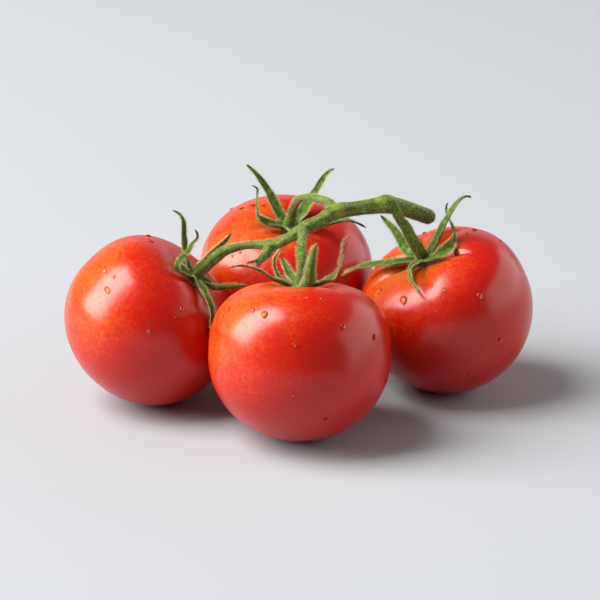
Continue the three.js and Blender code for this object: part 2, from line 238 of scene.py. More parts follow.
# A direction that no stalk starts along, from which the ribs are laid out.
STALK_UP = (0.3, 0.4, 0.9)
CUT_ROUNDING = 1.2
CUT_RADIUS_SHARE = 0.72
ROWS_PER_SPAN = 10
VINE_VOXEL = 0.26
VINE_SOFTENING = 0.5
VINE_SOFTENING_ROUNDS = 3
# Places along the vine with their own colour, and how far each colour reaches.
COLLARS = [(29.6, -1.6, 76.7), (13.2, -7.4, 76.2)]
COLLAR_REACH = 4.0
CUT_END = (49.9, 17.8, 65.3)
CUT_REACH = 3.6
DRIED_TIPS = [(-18.4, -20.0, 60.5), (-16.0, -19.8, 59.0)]
DRIED_REACH = 4.2

# Hairs: lengths are the shortest and the longest, and a tilt is how far directions are scattered.
HAIR_RADIUS = 0.055
SEPAL_HAIRS = 520
SEPAL_HAIR_LENGTHS = (0.5, 1.2)
SEPAL_HAIR_SCATTER = 0.12
SEPAL_HAIR_TILT = 0.35
# They stand outside this share of the width and below this share of the length.
SEPAL_HAIR_INNER = 0.86
SEPAL_HAIR_END = 0.93
VINE_HAIRS = 9000
VINE_HAIR_LENGTHS = (0.35, 0.95)
VINE_HAIR_TILT = 0.3

# Moves the truss from the figures above to the frame's origin.
CENTRING = np.array([0.105, -0.727, 0.0])

# Water drops: bearing and angle from the stem axis, both round the fruit's own axis, then width
# and, for a long one, how far it is stretched across.
DROPS = {
    "left": [
        (-158, 71, 1.9, 1.8), (-147, 67, 1.7), (-142, 75, 2.0, 1.8), (-154, 78, 0.9), (-163, 57, 1.1),
        (-101, 72, 1.8), (-93, 47, 2.0), (-94, 54, 1.4), (-172, 95, 1.6), (167, 39, 2.0),
    ],
    "front": [
        (-116, 58, 2.6), (-127, 56, 1.7), (-153, 58, 1.5), (-156, 63, 1.4), (-85, 43, 1.3),
        (-73, 44, 1.6), (-93, 76, 1.3), (-61, 65, 2.2), (-35, 73, 2.4), (-94, 107, 1.4), (-68, 127, 1.3),
    ],
    "right": [
        (-115, 45, 3.2), (-153, 42, 2.2), (-75, 47, 2.0), (-54, 63, 2.4), (-88, 57, 1.2),
        (-145, 50, 1.2), (-56, 97, 1.6), (-82, 77, 1.2), (-85, 112, 1.5),
    ],
    "back": [
        (-153, 52, 1.4), (-143, 51, 1.3), (-149, 44, 1.1), (-139, 46, 1.2), (-127, 49, 1.3),
        (-142, 36, 1.2), (135, 29, 1.2),
    ],
}
# More drops on the sides that the photograph doesn't show: ranges of the same three figures.
FAR_DROPS = 14
FAR_DROP_RANGES = [(10, 150), (35, 105), (0.9, 2.0)]
DROP_ROWS = 7
DROP_SIDES = 22
DROP_HEIGHT_SHARE = 0.3
DROP_SAG = 1.15
DROP_OVAL = 0.12
DROP_LOBES = 0.08
DROP_SINK = 0.04
DROP_TOP_RADIUS = 0.004
# Distances from the fruit's middle between which the skin is looked for, and how many halvings.
SKIN_SEARCH = (5.0, 60.0)
SKIN_SEARCH_STEPS = 40

random = np.random.default_rng(7)


# Forms

def unit(v):
    return v / np.linalg.norm(v, axis=-1, keepdims=True)


def skin(fruit, share):
    """Radius and height of the skin from the stem end (0) to the blossom end (1)."""
    turn = np.pi * np.asarray(share, float)
    top = np.cos(turn) >= 0
    roundness = np.where(top, CROWN_ROUNDNESS, BASE_ROUNDNESS)
    rise = fruit["radius"] * np.where(top, fruit["crown"], -fruit["base"])
    radius = fruit["radius"] * np.abs(np.sin(turn)) ** (2 / roundness)
    height = rise * np.abs(np.cos(turn)) ** (2 / roundness)
    dent = -fruit["dimple"] * np.exp(-((radius / DIMPLE_WIDTH) ** 2))
    tip = BLOSSOM_HEIGHT * np.exp(-((radius / BLOSSOM_WIDTH) ** 2))
    return radius, height + np.where(top, dent, tip)


def skin_distance(fruit, points):
    """How far points are outside the skin, in the fruit's own frame."""
    radius = np.hypot(points[..., 0], points[..., 1])
    dent = np.where(points[..., 2] > 0, fruit["dimple"] * np.exp(-((radius / DIMPLE_WIDTH) ** 2)), 0)
    height = points[..., 2] + dent
    roundness = np.where(height > 0, CROWN_ROUNDNESS, BASE_ROUNDNESS)
    rise = fruit["radius"] * np.where(height > 0, fruit["crown"], fruit["base"])
    size = (radius / fruit["radius"]) ** roundness + (np.abs(height) / rise) ** roundness
    size = size ** (1 / roundness)
    return np.hypot(radius, height) * (size - 1) / size


def point_on_skin(fruit, way):
    """Where the skin is in this direction from the fruit's middle."""
    low, high = SKIN_SEARCH
    for _ in range(SKIN_SEARCH_STEPS):
        middle = (low + high) / 2
        if float(skin_distance(fruit, way * middle)) > 0:
            high = middle
        else:
            low = middle
    return way * high


def fruit_frame(fruit):
    """Columns across, away and axis of the fruit's frame, and its middle in the part's frame."""
    lean, bearing = math.radians(fruit["lean"]), math.radians(fruit["bearing"])
    axis = np.array([
        math.sin(lean) * math.cos(bearing), math.sin(lean) * math.sin(bearing), math.cos(lean),
    ])
    across = unit(np.array([1.0, 0, 0]) - axis[0] * axis)
    away = np.cross(axis, across)
    radius, height = skin(fruit, np.linspace(0, 1, PROFILE_POINTS))
    reach = (radius * math.sin(lean) - height * math.cos(lean)).max()
    middle = np.array([fruit["x"], fruit["y"], reach - FLAT_SPOT_DEPTH]) + CENTRING
    return np.stack([across, away, axis], axis=1), middle


def placed(points, place):
    """The points moved from the fruit's own frame to the part's frame."""
    turn, middle = place
    return points @ turn.T + middle


def grid_faces(rows, columns):
    """Four-sided faces between rows of points that each go once round."""
    faces = []
    for row in range(rows - 1):
        for column in range(columns):
            after = (column + 1) % columns
            a, b = row * columns + column, row * columns + after
            faces.append((a, b, b + columns, a + columns))
    return faces


def end_faces(count, sides):
    """The faces that close the first and the last row of a grid of this many points."""
    return [tuple(range(sides - 1, -1, -1)), tuple(range(count - sides, count))]


def merged(parts):
    """One set of points, faces and values from several."""
    points, faces, values = [], [], {key: [] for key in parts[0][2]}
    start = 0
    for part_points, part_faces, part_values in parts:
        points.append(part_points)
        faces += [tuple(i + start for i in face) for face in part_faces]
        for key in values:
            values[key].append(part_values[key])
        start += len(part_points)
    return np.vstack(points), faces, {key: np.concatenate(value) for key, value in values.items()}


def new_piece(name, points, faces, look, values=None):
    """A smooth mesh of points in millimetres, with values for its material, that rides the truss."""
    mesh = bpy.data.meshes.new(name)
    mesh.from_pydata((np.asarray(points) * MM).tolist(), [], faces)
    for key, value in (values or {}).items():
        mesh.attributes.new(key, "FLOAT", "POINT").data.foreach_set("value", np.asarray(value, float))
    mesh.polygons.foreach_set("use_smooth", [True] * len(mesh.polygons))
    mesh.materials.append(look)
    mesh.update()
    piece = bpy.data.objects.new(name, mesh)
    bpy.context.scene.collection.objects.link(piece)
    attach(piece, "root")
    return piece


# Fruits

def folds(turns, ring, spread):
    """Depth of folds from 0 to 1. Turns are degrees from each fold's middle, with its spread, and
    ring is how far a point is from the folds' deepest place, in widths.
    """
    return np.max([np.exp(-((turn / spread) ** 2)) for turn in turns], axis=0) * np.exp(-ring * ring)


def crease_depth(fruit, x, y):
    """The wide folds of the solids, each with a finer fold along its middle."""
    radius = np.hypot(x, y)
    bearing = np.degrees(np.arctan2(y, x))
    turns = [(bearing - crease + 180) % 360 - 180 for crease in fruit["creases"]]
    wide = folds(turns, (radius - CREASE_RADIUS) / CREASE_WIDTH, CREASE_SPREAD)
    fine = folds(turns, (radius - FINE_CREASE_RADIUS) / FINE_CREASE_WIDTH, FINE_CREASE_SPREAD)
    return fruit["crease_depth"] * wide + fruit["fine_crease"] * fine


def unevenness(points):
    return sum(height * np.sin(points @ np.array(way) + phase) for way, phase, height in FRUIT_WAVES)


def fruit_points(fruit, place):
    """Points of the skin, row by row and then the two ends, and their angle from the stem."""
    shares = (np.arange(1, FRUIT_ROWS) / FRUIT_ROWS) ** CROWN_DETAIL
    radius, height = skin(fruit, shares)
    turn = np.linspace(0, 2 * np.pi, FRUIT_SIDES, endpoint=False)
    x = radius[:, None] * np.cos(turn)
    y = radius[:, None] * np.sin(turn)
    z = np.repeat(height[:, None], FRUIT_SIDES, axis=1)
    z = z - np.where(z > 0, crease_depth(fruit, x, y), 0)
    points = np.stack([x, y, z], axis=-1).reshape(-1, 3)
    ends = [[0, 0, skin(fruit, 0)[1]], [0, 0, skin(fruit, 1)[1]]]
    points = np.vstack([points, ends])
    points += unit(points) * unevenness(points + fruit["x"])[:, None]
    stem = np.degrees(np.arccos(unit(points)[:, 2])) / 180
    world = placed(points, place)
    world[:, 2] = np.maximum(world[:, 2], 0)
    return world, stem


def dress_fruit(fruit, place, look):
    points, stem = fruit_points(fruit, place)
    # Painted light: how far each point faces the main light, for a more orange painted lit side.
    painted_light = unit(points - place[1]) @ unit(np.array(PAINTED_LIGHT_SIDE))
    rows = FRUIT_ROWS - 1
    faces = [tuple(reversed(face)) for face in grid_faces(rows, FRUIT_SIDES)]
    top, bottom, last = rows * FRUIT_SIDES, rows * FRUIT_SIDES + 1, (rows - 1) * FRUIT_SIDES
    for side in range(FRUIT_SIDES):
        after = (side + 1) % FRUIT_SIDES
        faces.append((side, after, top))
        faces.append((last + after, last + side, bottom))
    name = fruit["name"]
    piece = new_piece(f"fruit_{name}", points, faces, look, dict(stem=stem, painted_light=painted_light))
    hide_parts(f"tomato_{name}")


# Calyxes

def midrib(fruit, sepal):
    """Points along the sepal's midrib in the fruit's frame, kept off the skin."""
    floor = float(skin(fruit, 0)[1])
    start = math.radians(sepal["bearing"][0])
    point = np.array([
        SEPAL_ROOT_RADIUS * math.cos(start), SEPAL_ROOT_RADIUS * math.sin(start), floor + SEPAL_ROOT_HEIGHT,
    ])
    share = (np.arange(SEPAL_STEPS) + 0.5) / SEPAL_STEPS
    bearing = np.radians(np.interp(share, SEPAL_KNOTS, sepal["bearing"]))
    rise = np.radians(np.interp(share, SEPAL_KNOTS, sepal["rise"]))
    ways = np.stack([np.cos(rise) * np.cos(bearing), np.cos(rise) * np.sin(bearing), np.sin(rise)], axis=1)
    free = point + np.cumsum(ways, axis=0) * sepal["length"] / SEPAL_STEPS
    short = np.maximum(SEPAL_SKIN_GAP - skin_distance(fruit, free), 0)
    return np.vstack([point, free + unit(free) * short[:, None]])


def even(line, count):
    """The line resampled to evenly spaced points and made smooth, with its direction at each."""
    steps = np.linalg.norm(np.diff(line, axis=0), axis=1)
    along = np.concatenate([[0], np.cumsum(steps)]) / steps.sum()
    share = np.linspace(0, 1, count)
    points = np.stack([np.interp(share, along, line[:, k]) for k in range(3)], axis=1)
    for _ in range(MIDRIB_ROUNDS):
        inner = np.stack([np.convolve(points[:, k], MIDRIB_SMOOTHING, "valid") for k in range(3)], axis=1)
        points = np.vstack([points[:1], inner, points[-1:]])
    return points, unit(np.gradient(points, axis=0))


def sepal_ups(fruit, line, ahead):
    """The direction that the sepal's upper face looks, worked out at SEPAL_FRAMES + 1 places."""
    at = np.round(np.linspace(0, len(line) - 1, SEPAL_FRAMES + 1)).astype(int)
    up = np.array([0, 0, 1.0])
    ups = []
    for i in at:
        near_skin = math.exp(-max(float(skin_distance(fruit, line[i])), 0) / SEPAL_SKIN_REACH)
        up = up + (unit(line[i]) - up) * near_skin
        up = unit(up - up.dot(ahead[i]) * ahead[i])
        ups.append(up)
    full = np.stack([np.interp(np.arange(len(line)), at, np.array(ups)[:, k]) for k in range(3)], axis=1)
    full = full - (full * ahead).sum(axis=1, keepdims=True) * ahead
    return unit(full)


def sepal_mesh(fruit, sepal, seed):
    """Points, faces and shading values of one sepal: a thin keeled blade with wavy edges."""
    line, ahead = even(midrib(fruit, sepal), SEPAL_ROWS)
    up = sepal_ups(fruit, line, ahead)
    share = np.linspace(0, 1, SEPAL_ROWS)
    turned = np.clip((share - SEPAL_TWIST_START) / SEPAL_TWIST_REACH, 0, 1)[:, None]
    twist = math.radians(sepal["twist"]) * turned
    up = up * np.cos(twist) + np.cross(ahead, up) * np.sin(twist)
    side = np.cross(ahead, up)
    closing = np.sqrt(np.clip((1 - share) / SEPAL_TIP_ROUNDING, 0, 1))
    shrunk = sepal["shrink"] * np.clip((share - sepal["thin"]) / SEPAL_SHRINK_REACH, 0, 1)
    half_width = sepal["width"] * np.interp(share, *SEPAL_TAPER) / 2
    half_width = half_width * (SEPAL_TIP_WIDTH + (1 - SEPAL_TIP_WIDTH) * closing) * (1 - shrunk)
    half_height = np.interp(share, *SEPAL_THICKNESS) / 2
    half_height = half_height * (SEPAL_TIP_HEIGHT + (1 - SEPAL_TIP_HEIGHT) * closing)
    turn = np.linspace(0, 2 * np.pi, SEPAL_SIDES, endpoint=False)
    x, z = np.sin(turn), np.cos(turn)
    section = np.sign(z) * np.abs(z) ** SEPAL_SECTION
    wave = SEPAL_EDGE_WAVE * np.sin(share * sepal["length"] * SEPAL_EDGE_WAVES + seed)[:, None] * x ** 3
    keel = np.where(z < 0, -SEPAL_KEEL, -SEPAL_GROOVE) * np.exp(-((x / SEPAL_KEEL_WIDTH) ** 2))
    lift = (x * x - SEPAL_CUP_MIDDLE) * SEPAL_CUP
    rise = half_height[:, None] * (section + keel) + half_width[:, None] * lift + wave
    sideways = side[:, None] * (half_width[:, None] * x)[..., None]
    points = (line[:, None] + sideways + up[:, None] * rise[..., None]).reshape(-1, 3)
    faces = grid_faces(SEPAL_ROWS, SEPAL_SIDES) + end_faces(len(points), SEPAL_SIDES)
    along = np.repeat(share, SEPAL_SIDES)
    values = dict(
        along=along,
        across=np.tile(x, SEPAL_ROWS),
        dried=np.clip((along - sepal["dry"]) / SEPAL_DRY_REACH, 0, 1),
        tone=np.full(len(points), TIP_TONES[sepal["tip"]]),
    )
    return points, faces, values


def receptacle_mesh(fruit):
    floor = float(skin(fruit, 0)[1])
    inner = RECEPTACLE_RADIUS - RECEPTACLE_RIM
    shoulder = RECEPTACLE_RADIUS - RECEPTACLE_SHOULDER_IN
    outline = [
        (RECEPTACLE_MIDDLE, RECEPTACLE_FOOT), (inner, RECEPTACLE_FOOT),
        (RECEPTACLE_RADIUS, RECEPTACLE_FOOT + RECEPTACLE_RIM),
        (shoulder, RECEPTACLE_TOP - RECEPTACLE_SHOULDER_DOWN),
        (inner, RECEPTACLE_TOP), (RECEPTACLE_MIDDLE, RECEPTACLE_TOP),
    ]
    turn = np.linspace(0, 2 * np.pi, RECEPTACLE_SIDES, endpoint=False)
    ripple = 1 + RECEPTACLE_RIPPLE * np.cos(RECEPTACLE_LOBES * turn)
    rows = []
    for radius, height in outline:
        reach = radius * ripple
        level = np.full_like(turn, floor + height)
        rows.append(np.stack([reach * np.cos(turn), reach * np.sin(turn), level], axis=1))
    points = np.vstack(rows)
    faces = grid_faces(len(outline), RECEPTACLE_SIDES) + end_faces(len(points), RECEPTACLE_SIDES)
    return points, faces, {key: np.zeros(len(points)) for key in ("along", "across", "dried", "tone")}


def hairs(roots, ways, lengths):
    """Thin needles with three sides, one at each root."""
    helper = np.where(np.abs(ways[:, 2:3]) < 0.9, [[0, 0, 1.0]], [[1.0, 0, 0]])
    first = unit(np.cross(ways, helper))
    second = np.cross(ways, first)
    corners = []
    for turn in (0, 2 * np.pi / 3, 4 * np.pi / 3):
        corners.append(roots + HAIR_RADIUS * (math.cos(turn) * first + math.sin(turn) * second))
    points = np.stack(corners + [roots + ways * lengths[:, None]], axis=1).reshape(-1, 3)
    base = np.arange(len(roots)) * 4
    sides = [np.stack([base + i, base + (i + 1) % 3, base + 3], axis=1) for i in range(3)]
    faces = np.concatenate(sides + [np.stack([base + 2, base + 1, base], axis=1)])
    return points, [tuple(face) for face in faces.tolist()]


def dress_calyx(fruit, place, look, hair_look):
    parts = [sepal_mesh(fruit, sepal, seed) for seed, sepal in enumerate(fruit["sepals"])]
    roots, ways = [], []
    for points, _, values in parts:
        on_edge = np.abs(values["across"]) > SEPAL_HAIR_INNER
        spots = np.flatnonzero(on_edge & (values["along"] < SEPAL_HAIR_END))
        pick = random.choice(spots, SEPAL_HAIRS)
        middle = points.reshape(SEPAL_ROWS, SEPAL_SIDES, 3).mean(axis=1)[pick // SEPAL_SIDES]
        outwards = unit(points[pick] - middle)
        roots.append(points[pick] + random.normal(0, SEPAL_HAIR_SCATTER, (SEPAL_HAIRS, 3)))
        ways.append(unit(outwards + random.normal(0, SEPAL_HAIR_TILT, (SEPAL_HAIRS, 3))))
    points, faces, values = merged(parts + [receptacle_mesh(fruit)])
    name = fruit["name"]
    piece = new_piece(f"sepals_{name}", placed(points, place), faces, look, values)
    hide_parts(f"calyx_{name}")
    roots, ways = np.vstack(roots), np.vstack(ways)
    lengths = random.uniform(*SEPAL_HAIR_LENGTHS, len(roots))
    points, faces = hairs(roots, ways, lengths)
    new_piece(f"sepal_hairs_{name}", placed(points, place), faces, hair_look)


# Vine

def smooth_curve(knots):
    """A smooth curve through the knots, radius included, with ROWS_PER_SPAN rows to a span."""
    knots = np.asarray(knots, float)
    padded = np.vstack([2 * knots[0] - knots[1], knots, 2 * knots[-1] - knots[-2]])
    t = np.arange(ROWS_PER_SPAN)[:, None] / ROWS_PER_SPAN
    rows = []
    for i in range(len(knots) - 1):
        a, b, c, d = padded[i:i + 4]
        bend = 2 * a - 5 * b + 4 * c - d
        rows.append(0.5 * (2 * b + (c - a) * t + bend * t ** 2 + (3 * b - a - 3 * c + d) * t ** 3))
    return np.vstack(rows + [knots[-1:]])


def stalk_mesh(knots, is_cut=False):
    """One ribbed stalk. A cut one is rounded off at its first end."""
    curve = smooth_curve(knots)
    line, radius = curve[:, :3] + CENTRING, curve[:, 3]
    ahead = unit(np.gradient(line, axis=0))
    up = np.array(STALK_UP)
    ups = []
    for way in ahead:
        up = unit(up - up.dot(way) * way)
        ups.append(up)
    ups = np.array(ups)
    side = np.cross(ahead, ups)
    turn = np.linspace(0, 2 * np.pi, STALK_SIDES, endpoint=False)
    if is_cut:
        first = np.linalg.norm(line - line[0], axis=1)
        radius = radius * np.clip(CUT_RADIUS_SHARE + (1 - CUT_RADIUS_SHARE) * first / CUT_ROUNDING, 0, 1)
    ribs = 1 + STALK_RIB * np.cos(STALK_RIB_COUNT * turn)
    ring = side[:, None] * np.sin(turn)[None, :, None] + ups[:, None] * np.cos(turn)[None, :, None]
    points = line[:, None] + radius[:, None, None] * ribs[None, :, None] * ring
    points = points.reshape(-1, 3)
    faces = grid_faces(len(line), STALK_SIDES) + end_faces(len(points), STALK_SIDES)
    return points, faces, {}


def fused(points, faces, look):
    """Points, normals and faces of the stalks grown together into one skin."""
    rough = new_piece("vine_rough", points, faces, look)
    remesh = rough.modifiers.new("fuse", "REMESH")
    remesh.mode = "VOXEL"
    remesh.voxel_size = VINE_VOXEL * MM
    soften = rough.modifiers.new("soften", "SMOOTH")
    soften.factor = VINE_SOFTENING
    soften.iterations = VINE_SOFTENING_ROUNDS
    bpy.context.view_layer.update()
    mesh = bpy.data.meshes.new_from_object(rough.evaluated_get(bpy.context.evaluated_depsgraph_get()))
    bpy.data.objects.remove(rough)
    points = np.empty(len(mesh.vertices) * 3)
    mesh.vertices.foreach_get("co", points)
    normals = np.empty_like(points)
    mesh.vertices.foreach_get("normal", normals)
    faces = [tuple(polygon.vertices) for polygon in mesh.polygons]
    return points.reshape(-1, 3) / MM, normals.reshape(-1, 3), faces


def near(points, spots, reach):
    """1 at the nearest of the spots, falling to 0 at the reach."""
    spots = np.asarray(spots) + CENTRING
    distance = np.min([np.linalg.norm(points - spot, axis=1) for spot in spots], axis=0)
    return np.clip(1 - distance / reach, 0, 1)


def dress_vine(places, look, hair_look):
    parts = []
    for fruit in FRUITS:
        name = fruit["name"]
        height = float(skin(fruit, 0)[1]) + RECEPTACLE_TOP - STALK_SINK
        end = placed(np.array([0, 0, height]), places[name]) - CENTRING
        stalk = FRUIT_STALKS[name]
        parts.append(stalk_mesh([*stalk, (*end, STALK_FLARE)], stalk is MAIN_STALK))
    parts += [stalk_mesh(knots) for knots in WITHERED_SHOOT]
    points, faces, _ = merged(parts)
    points, normals, faces = fused(points, faces, look)
    values = dict(
        collar=near(points, COLLARS, COLLAR_REACH),
        cut=near(points, [CUT_END], CUT_REACH),
        dried=near(points, DRIED_TIPS, DRIED_REACH),
        # Painted shade: the stalks are painted darker and browner where they face down.
        painted_underside_shade=np.clip(-normals[:, 2], 0, 1),
    )
    piece = new_piece("vine_stalks", points, faces, look, values)
    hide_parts("vine")
    pick = random.choice(len(points), VINE_HAIRS)
    ways = unit(normals[pick] + random.normal(0, VINE_HAIR_TILT, (VINE_HAIRS, 3)))
    lengths = random.uniform(*VINE_HAIR_LENGTHS, VINE_HAIRS)
    points, faces = hairs(points[pick], ways, lengths)
    new_piece("vine_hairs", points, faces, hair_look)


# Water drops

def drop_mesh(fruit, lit_side, away, seed, bearing, polar, width, stretch=1.0):
    """A low dome of water on the skin, a little longer downhill than across."""
    bearing, lean = math.radians(bearing), math.radians(polar)
    way = np.array([math.sin(lean) * math.cos(bearing), math.sin(lean) * math.sin(bearing), math.cos(lean)])
    foot = point_on_skin(fruit, way)
    first = unit(np.cross(way, [0, 0, 1.0]))
    second = np.cross(first, way)
    turn = np.linspace(0, 2 * np.pi, DROP_SIDES, endpoint=False)
    outline = 1 + DROP_OVAL * np.sin(2 * turn + seed) + DROP_LOBES * np.sin(3 * turn + 2 * seed)
    ring = stretch * np.cos(turn)[:, None] * first + DROP_SAG * np.sin(turn)[:, None] * second
    rises = np.radians(90 * np.arange(DROP_ROWS + 1) / DROP_ROWS)
    rows = []
    for rise in rises:
        reach = width / 2 * math.cos(rise) * outline + DROP_TOP_RADIUS
        flat = foot + reach[:, None] * ring
        onto = flat - unit(flat) * skin_distance(fruit, flat)[:, None]
        rows.append(onto + unit(onto) * (DROP_HEIGHT_SHARE * width * math.sin(rise) - DROP_SINK))
    points = np.vstack(rows)
    faces = grid_faces(DROP_ROWS + 1, DROP_SIDES) + end_faces(len(points), DROP_SIDES)
    faces = [tuple(reversed(face)) for face in faces]
    rim = np.repeat(np.cos(rises), DROP_SIDES)
    flat = unit((points - foot) - ((points - foot) @ way)[:, None] * way)
    # The drops carry the skin's painted light: how far each faces the side towards the main light.
    values = dict(
        rim=rim,
        lens=np.clip(flat @ away, 0, 1) * rim,
        painted_light=np.full(len(points), float(way @ lit_side)),
        stem=np.full(len(points), polar / 180),
    )
    return points, faces, values


def dress_drops(fruit, place, look):
    spots = list(DROPS[fruit["name"]])
    for _ in range(FAR_DROPS):
        spots.append([random.uniform(*span) for span in FAR_DROP_RANGES])
    turn = place[0]
    # Painted light: the side towards the main light, in the fruit's own frame, for the drops' colour.
    lit_side = unit(np.array(PAINTED_LIGHT_SIDE)) @ turn
    away = -unit(np.array(LIT_FROM)) @ turn
    parts = [drop_mesh(fruit, lit_side, away, seed, *spot) for seed, spot in enumerate(spots)]
    points, faces, values = merged(parts)
    new_piece(f"drops_{fruit['name']}", placed(points, place), faces, look, values=values)


# Materials

# Sockets of a mix node that mixes colours.
MIX_FIRST = 6
MIX_SECOND = 7
MIX_RESULT = 2


class Graph:
    """A material's node tree, with short calls for the nodes that are used here."""

    def __init__(self, name):
        self.material = bpy.data.materials.new(name)
        self.material.use_nodes = True
        self.tree = self.material.node_tree
        self.surface = self.tree.nodes["Principled BSDF"]

    def node(self, kind, inputs=None, **settings):
        made = self.tree.nodes.new(kind)
        for key, value in settings.items():
            setattr(made, key, value)
        for key, value in (inputs or {}).items():
            self.set(made.inputs[key], value)
        return made

    def set(self, socket, value):
        if isinstance(value, bpy.types.NodeSocket):
            self.tree.links.new(value, socket)
        else:
            socket.default_value = value

    def attribute(self, name):
        return self.node("ShaderNodeAttribute", attribute_name=name).outputs["Fac"]

    def place(self):
        return self.node("ShaderNodeTexCoord").outputs["Object"]

    def noise(self, scale, detail, roughness, vector=None):
        made = self.node("ShaderNodeTexNoise", {"Scale": scale, "Detail": detail, "Roughness": roughness})
        self.set(made.inputs["Vector"], vector or self.place())
        return made.outputs["Fac"]

    def ramp(self, factor, stops):
        made = self.node("ShaderNodeValToRGB", {"Fac": factor})
        elements = made.color_ramp.elements
        while len(elements) < len(stops):
            elements.new(0.5)
        for element, (position, colour) in zip(elements, stops):
            element.position = position
            element.color = colour
        return made.outputs["Color"]

    def mask(self, factor, stops):
        """A ramp of greys, from stops of a position and a lightness."""
        return self.ramp(factor, [(position, (light, light, light, 1)) for position, light in stops])

    def mix(self, factor, a, b):
        made = self.node("ShaderNodeMix", data_type="RGBA")
        self.set(made.inputs["Factor"], factor)
        self.set(made.inputs[MIX_FIRST], a)
        self.set(made.inputs[MIX_SECOND], b)
        return made.outputs[MIX_RESULT]

    def math(self, operation, a, b=0.0):
        made = self.node("ShaderNodeMath", operation=operation)
        self.set(made.inputs[0], a)
        self.set(made.inputs[1], b)
        return made.outputs[0]

    def above(self, value, level, strength):
        """How far the value is above the level, times the strength."""
        return self.math("MULTIPLY", self.math("SUBTRACT", value, level), strength)

    def bump(self, height, strength, distance):
        made = self.node("ShaderNodeBump", {"Height": height, "Strength": strength, "Distance": distance})
        self.set(self.surface.inputs["Normal"], made.outputs["Normal"])

    def finish(self, **values):
        for key, value in values.items():
            self.set(self.surface.inputs[key.replace("_", " ")], value)
        return self.material


# Noises are their scale per metre, detail and roughness. Bumps are their strength, and their
# depth in metres. Ranges are stops of a position and a lightness.

# Skin
DEEP_RED = (0.52, 0.006, 0.001, 1)
WARM_RED = (0.57, 0.017, 0.002, 1)
ORANGE = (0.62, 0.078, 0.006, 1)
AMBER = (0.66, 0.17, 0.014, 1)
# Skin colours from deep red to amber, for ripeness and for the painted light of the lit side.
RIPENESS_AND_PAINTED_LIGHT = [(0.0, DEEP_RED), (0.2, WARM_RED), (0.48, ORANGE), (0.86, AMBER)]
PATCH_NOISE = (60.0, 4.0, 0.65)
PATCH_STRENGTH = 0.7
PAINTED_LIGHT_EDGE = 0.36
PAINTED_LIGHT_STRENGTH = 0.7
SHOULDER_EDGE = 0.25
SHOULDER_STRENGTH = 1.5
SPECKLE_NOISE = (620.0, 4.0, 0.8)
SPECKLE_STRENGTH = 1.1
NOISE_MIDDLE = 0.5
FLECK = (0.72, 0.17, 0.04, 1)
FLECK_NOISE = (1100.0, 2.0, 0.5)
FLECK_RANGE = [(0.60, 0), (0.72, 1)]
FLECK_STRENGTH = 0.12
SKIN_GRAIN = (700.0, 3.0, 0.6)
SKIN_BUMP = (0.09, 0.0003)


def blush_and_painted_light(g):
    """How orange the skin is, from 0 at its deepest red: more in random patches and towards the stem, and
    painted light on the side towards the main light.
    """
    patches = g.above(g.noise(*PATCH_NOISE), NOISE_MIDDLE, PATCH_STRENGTH)
    # Painted light: the side towards the main light is painted more orange.
    side = g.above(g.attribute("painted_light"), PAINTED_LIGHT_EDGE, PAINTED_LIGHT_STRENGTH)
    shoulder = g.above(g.attribute("stem"), SHOULDER_EDGE, -SHOULDER_STRENGTH)
    return g.math("ADD", g.math("ADD", side, patches), g.math("MAXIMUM", shoulder, 0.0))


def tomato_material():
    g = Graph("tomato_skin")
    speckle = g.above(g.noise(*SPECKLE_NOISE), NOISE_MIDDLE, SPECKLE_STRENGTH)
    # The skin's colour includes painted light: more orange on the side towards the main light.
    body = g.ramp(g.math("ADD", blush_and_painted_light(g), speckle), RIPENESS_AND_PAINTED_LIGHT)
    flecks = g.mask(g.noise(*FLECK_NOISE), FLECK_RANGE)
    colour = g.mix(g.math("MULTIPLY", flecks, FLECK_STRENGTH), body, FLECK)
    g.bump(g.noise(*SKIN_GRAIN), *SKIN_BUMP)
    return g.finish(
        Base_Color=colour, Roughness=0.26, IOR=1.5, Specular_IOR_Level=0.5, Specular_Tint=(1, 0.98, 0.96, 1),
        Subsurface_Weight=0.4, Subsurface_Radius=(1.0, 0.12, 0.04), Subsurface_Scale=0.006,
    )


# Green parts, with the glow of the finest fuzz along their edges.
GREEN_SURFACE = dict(
    Roughness=0.6, Specular_IOR_Level=0.12,
    Sheen_Weight=0.18, Sheen_Roughness=0.5, Sheen_Tint=(0.75, 0.85, 0.55, 1),
)
DRY_BROWN = (0.09, 0.048, 0.018, 1)
DRY_DARK = (0.010, 0.010, 0.006, 1)
DRY_PALE = (0.38, 0.19, 0.11, 1)
DRY_TONES = [(0.0, DRY_BROWN), (0.5, DRY_DARK), (1.0, DRY_PALE)]

# Sepals
SEPAL_DARK = (0.016, 0.040, 0.002, 1)
SEPAL_LIGHT = (0.125, 0.215, 0.022, 1)
SEPAL_EDGE = (0.42, 0.52, 0.24, 1)
SEPAL_NOISE = (620.0, 4.0, 0.7)
SEPAL_GREENS = [(0.30, SEPAL_DARK), (0.58, SEPAL_LIGHT), (0.76, SEPAL_EDGE)]
EDGE_RANGE = [(0.72, 0), (0.96, 1)]
EDGE_STRENGTH = 0.5
RIB_RANGE = [(0.0, 1), (0.16, 0)]
RIB_STRENGTH = 0.35
# Veins are noise drawn out along the sepal: how much of it there is across and along.
VEINS_ACROSS = 5.0
VEINS_ALONG = 3.0
VEIN_NOISE = (1.6, 3.0, 0.5)
SEPAL_BUMP = (0.8, 0.0004)


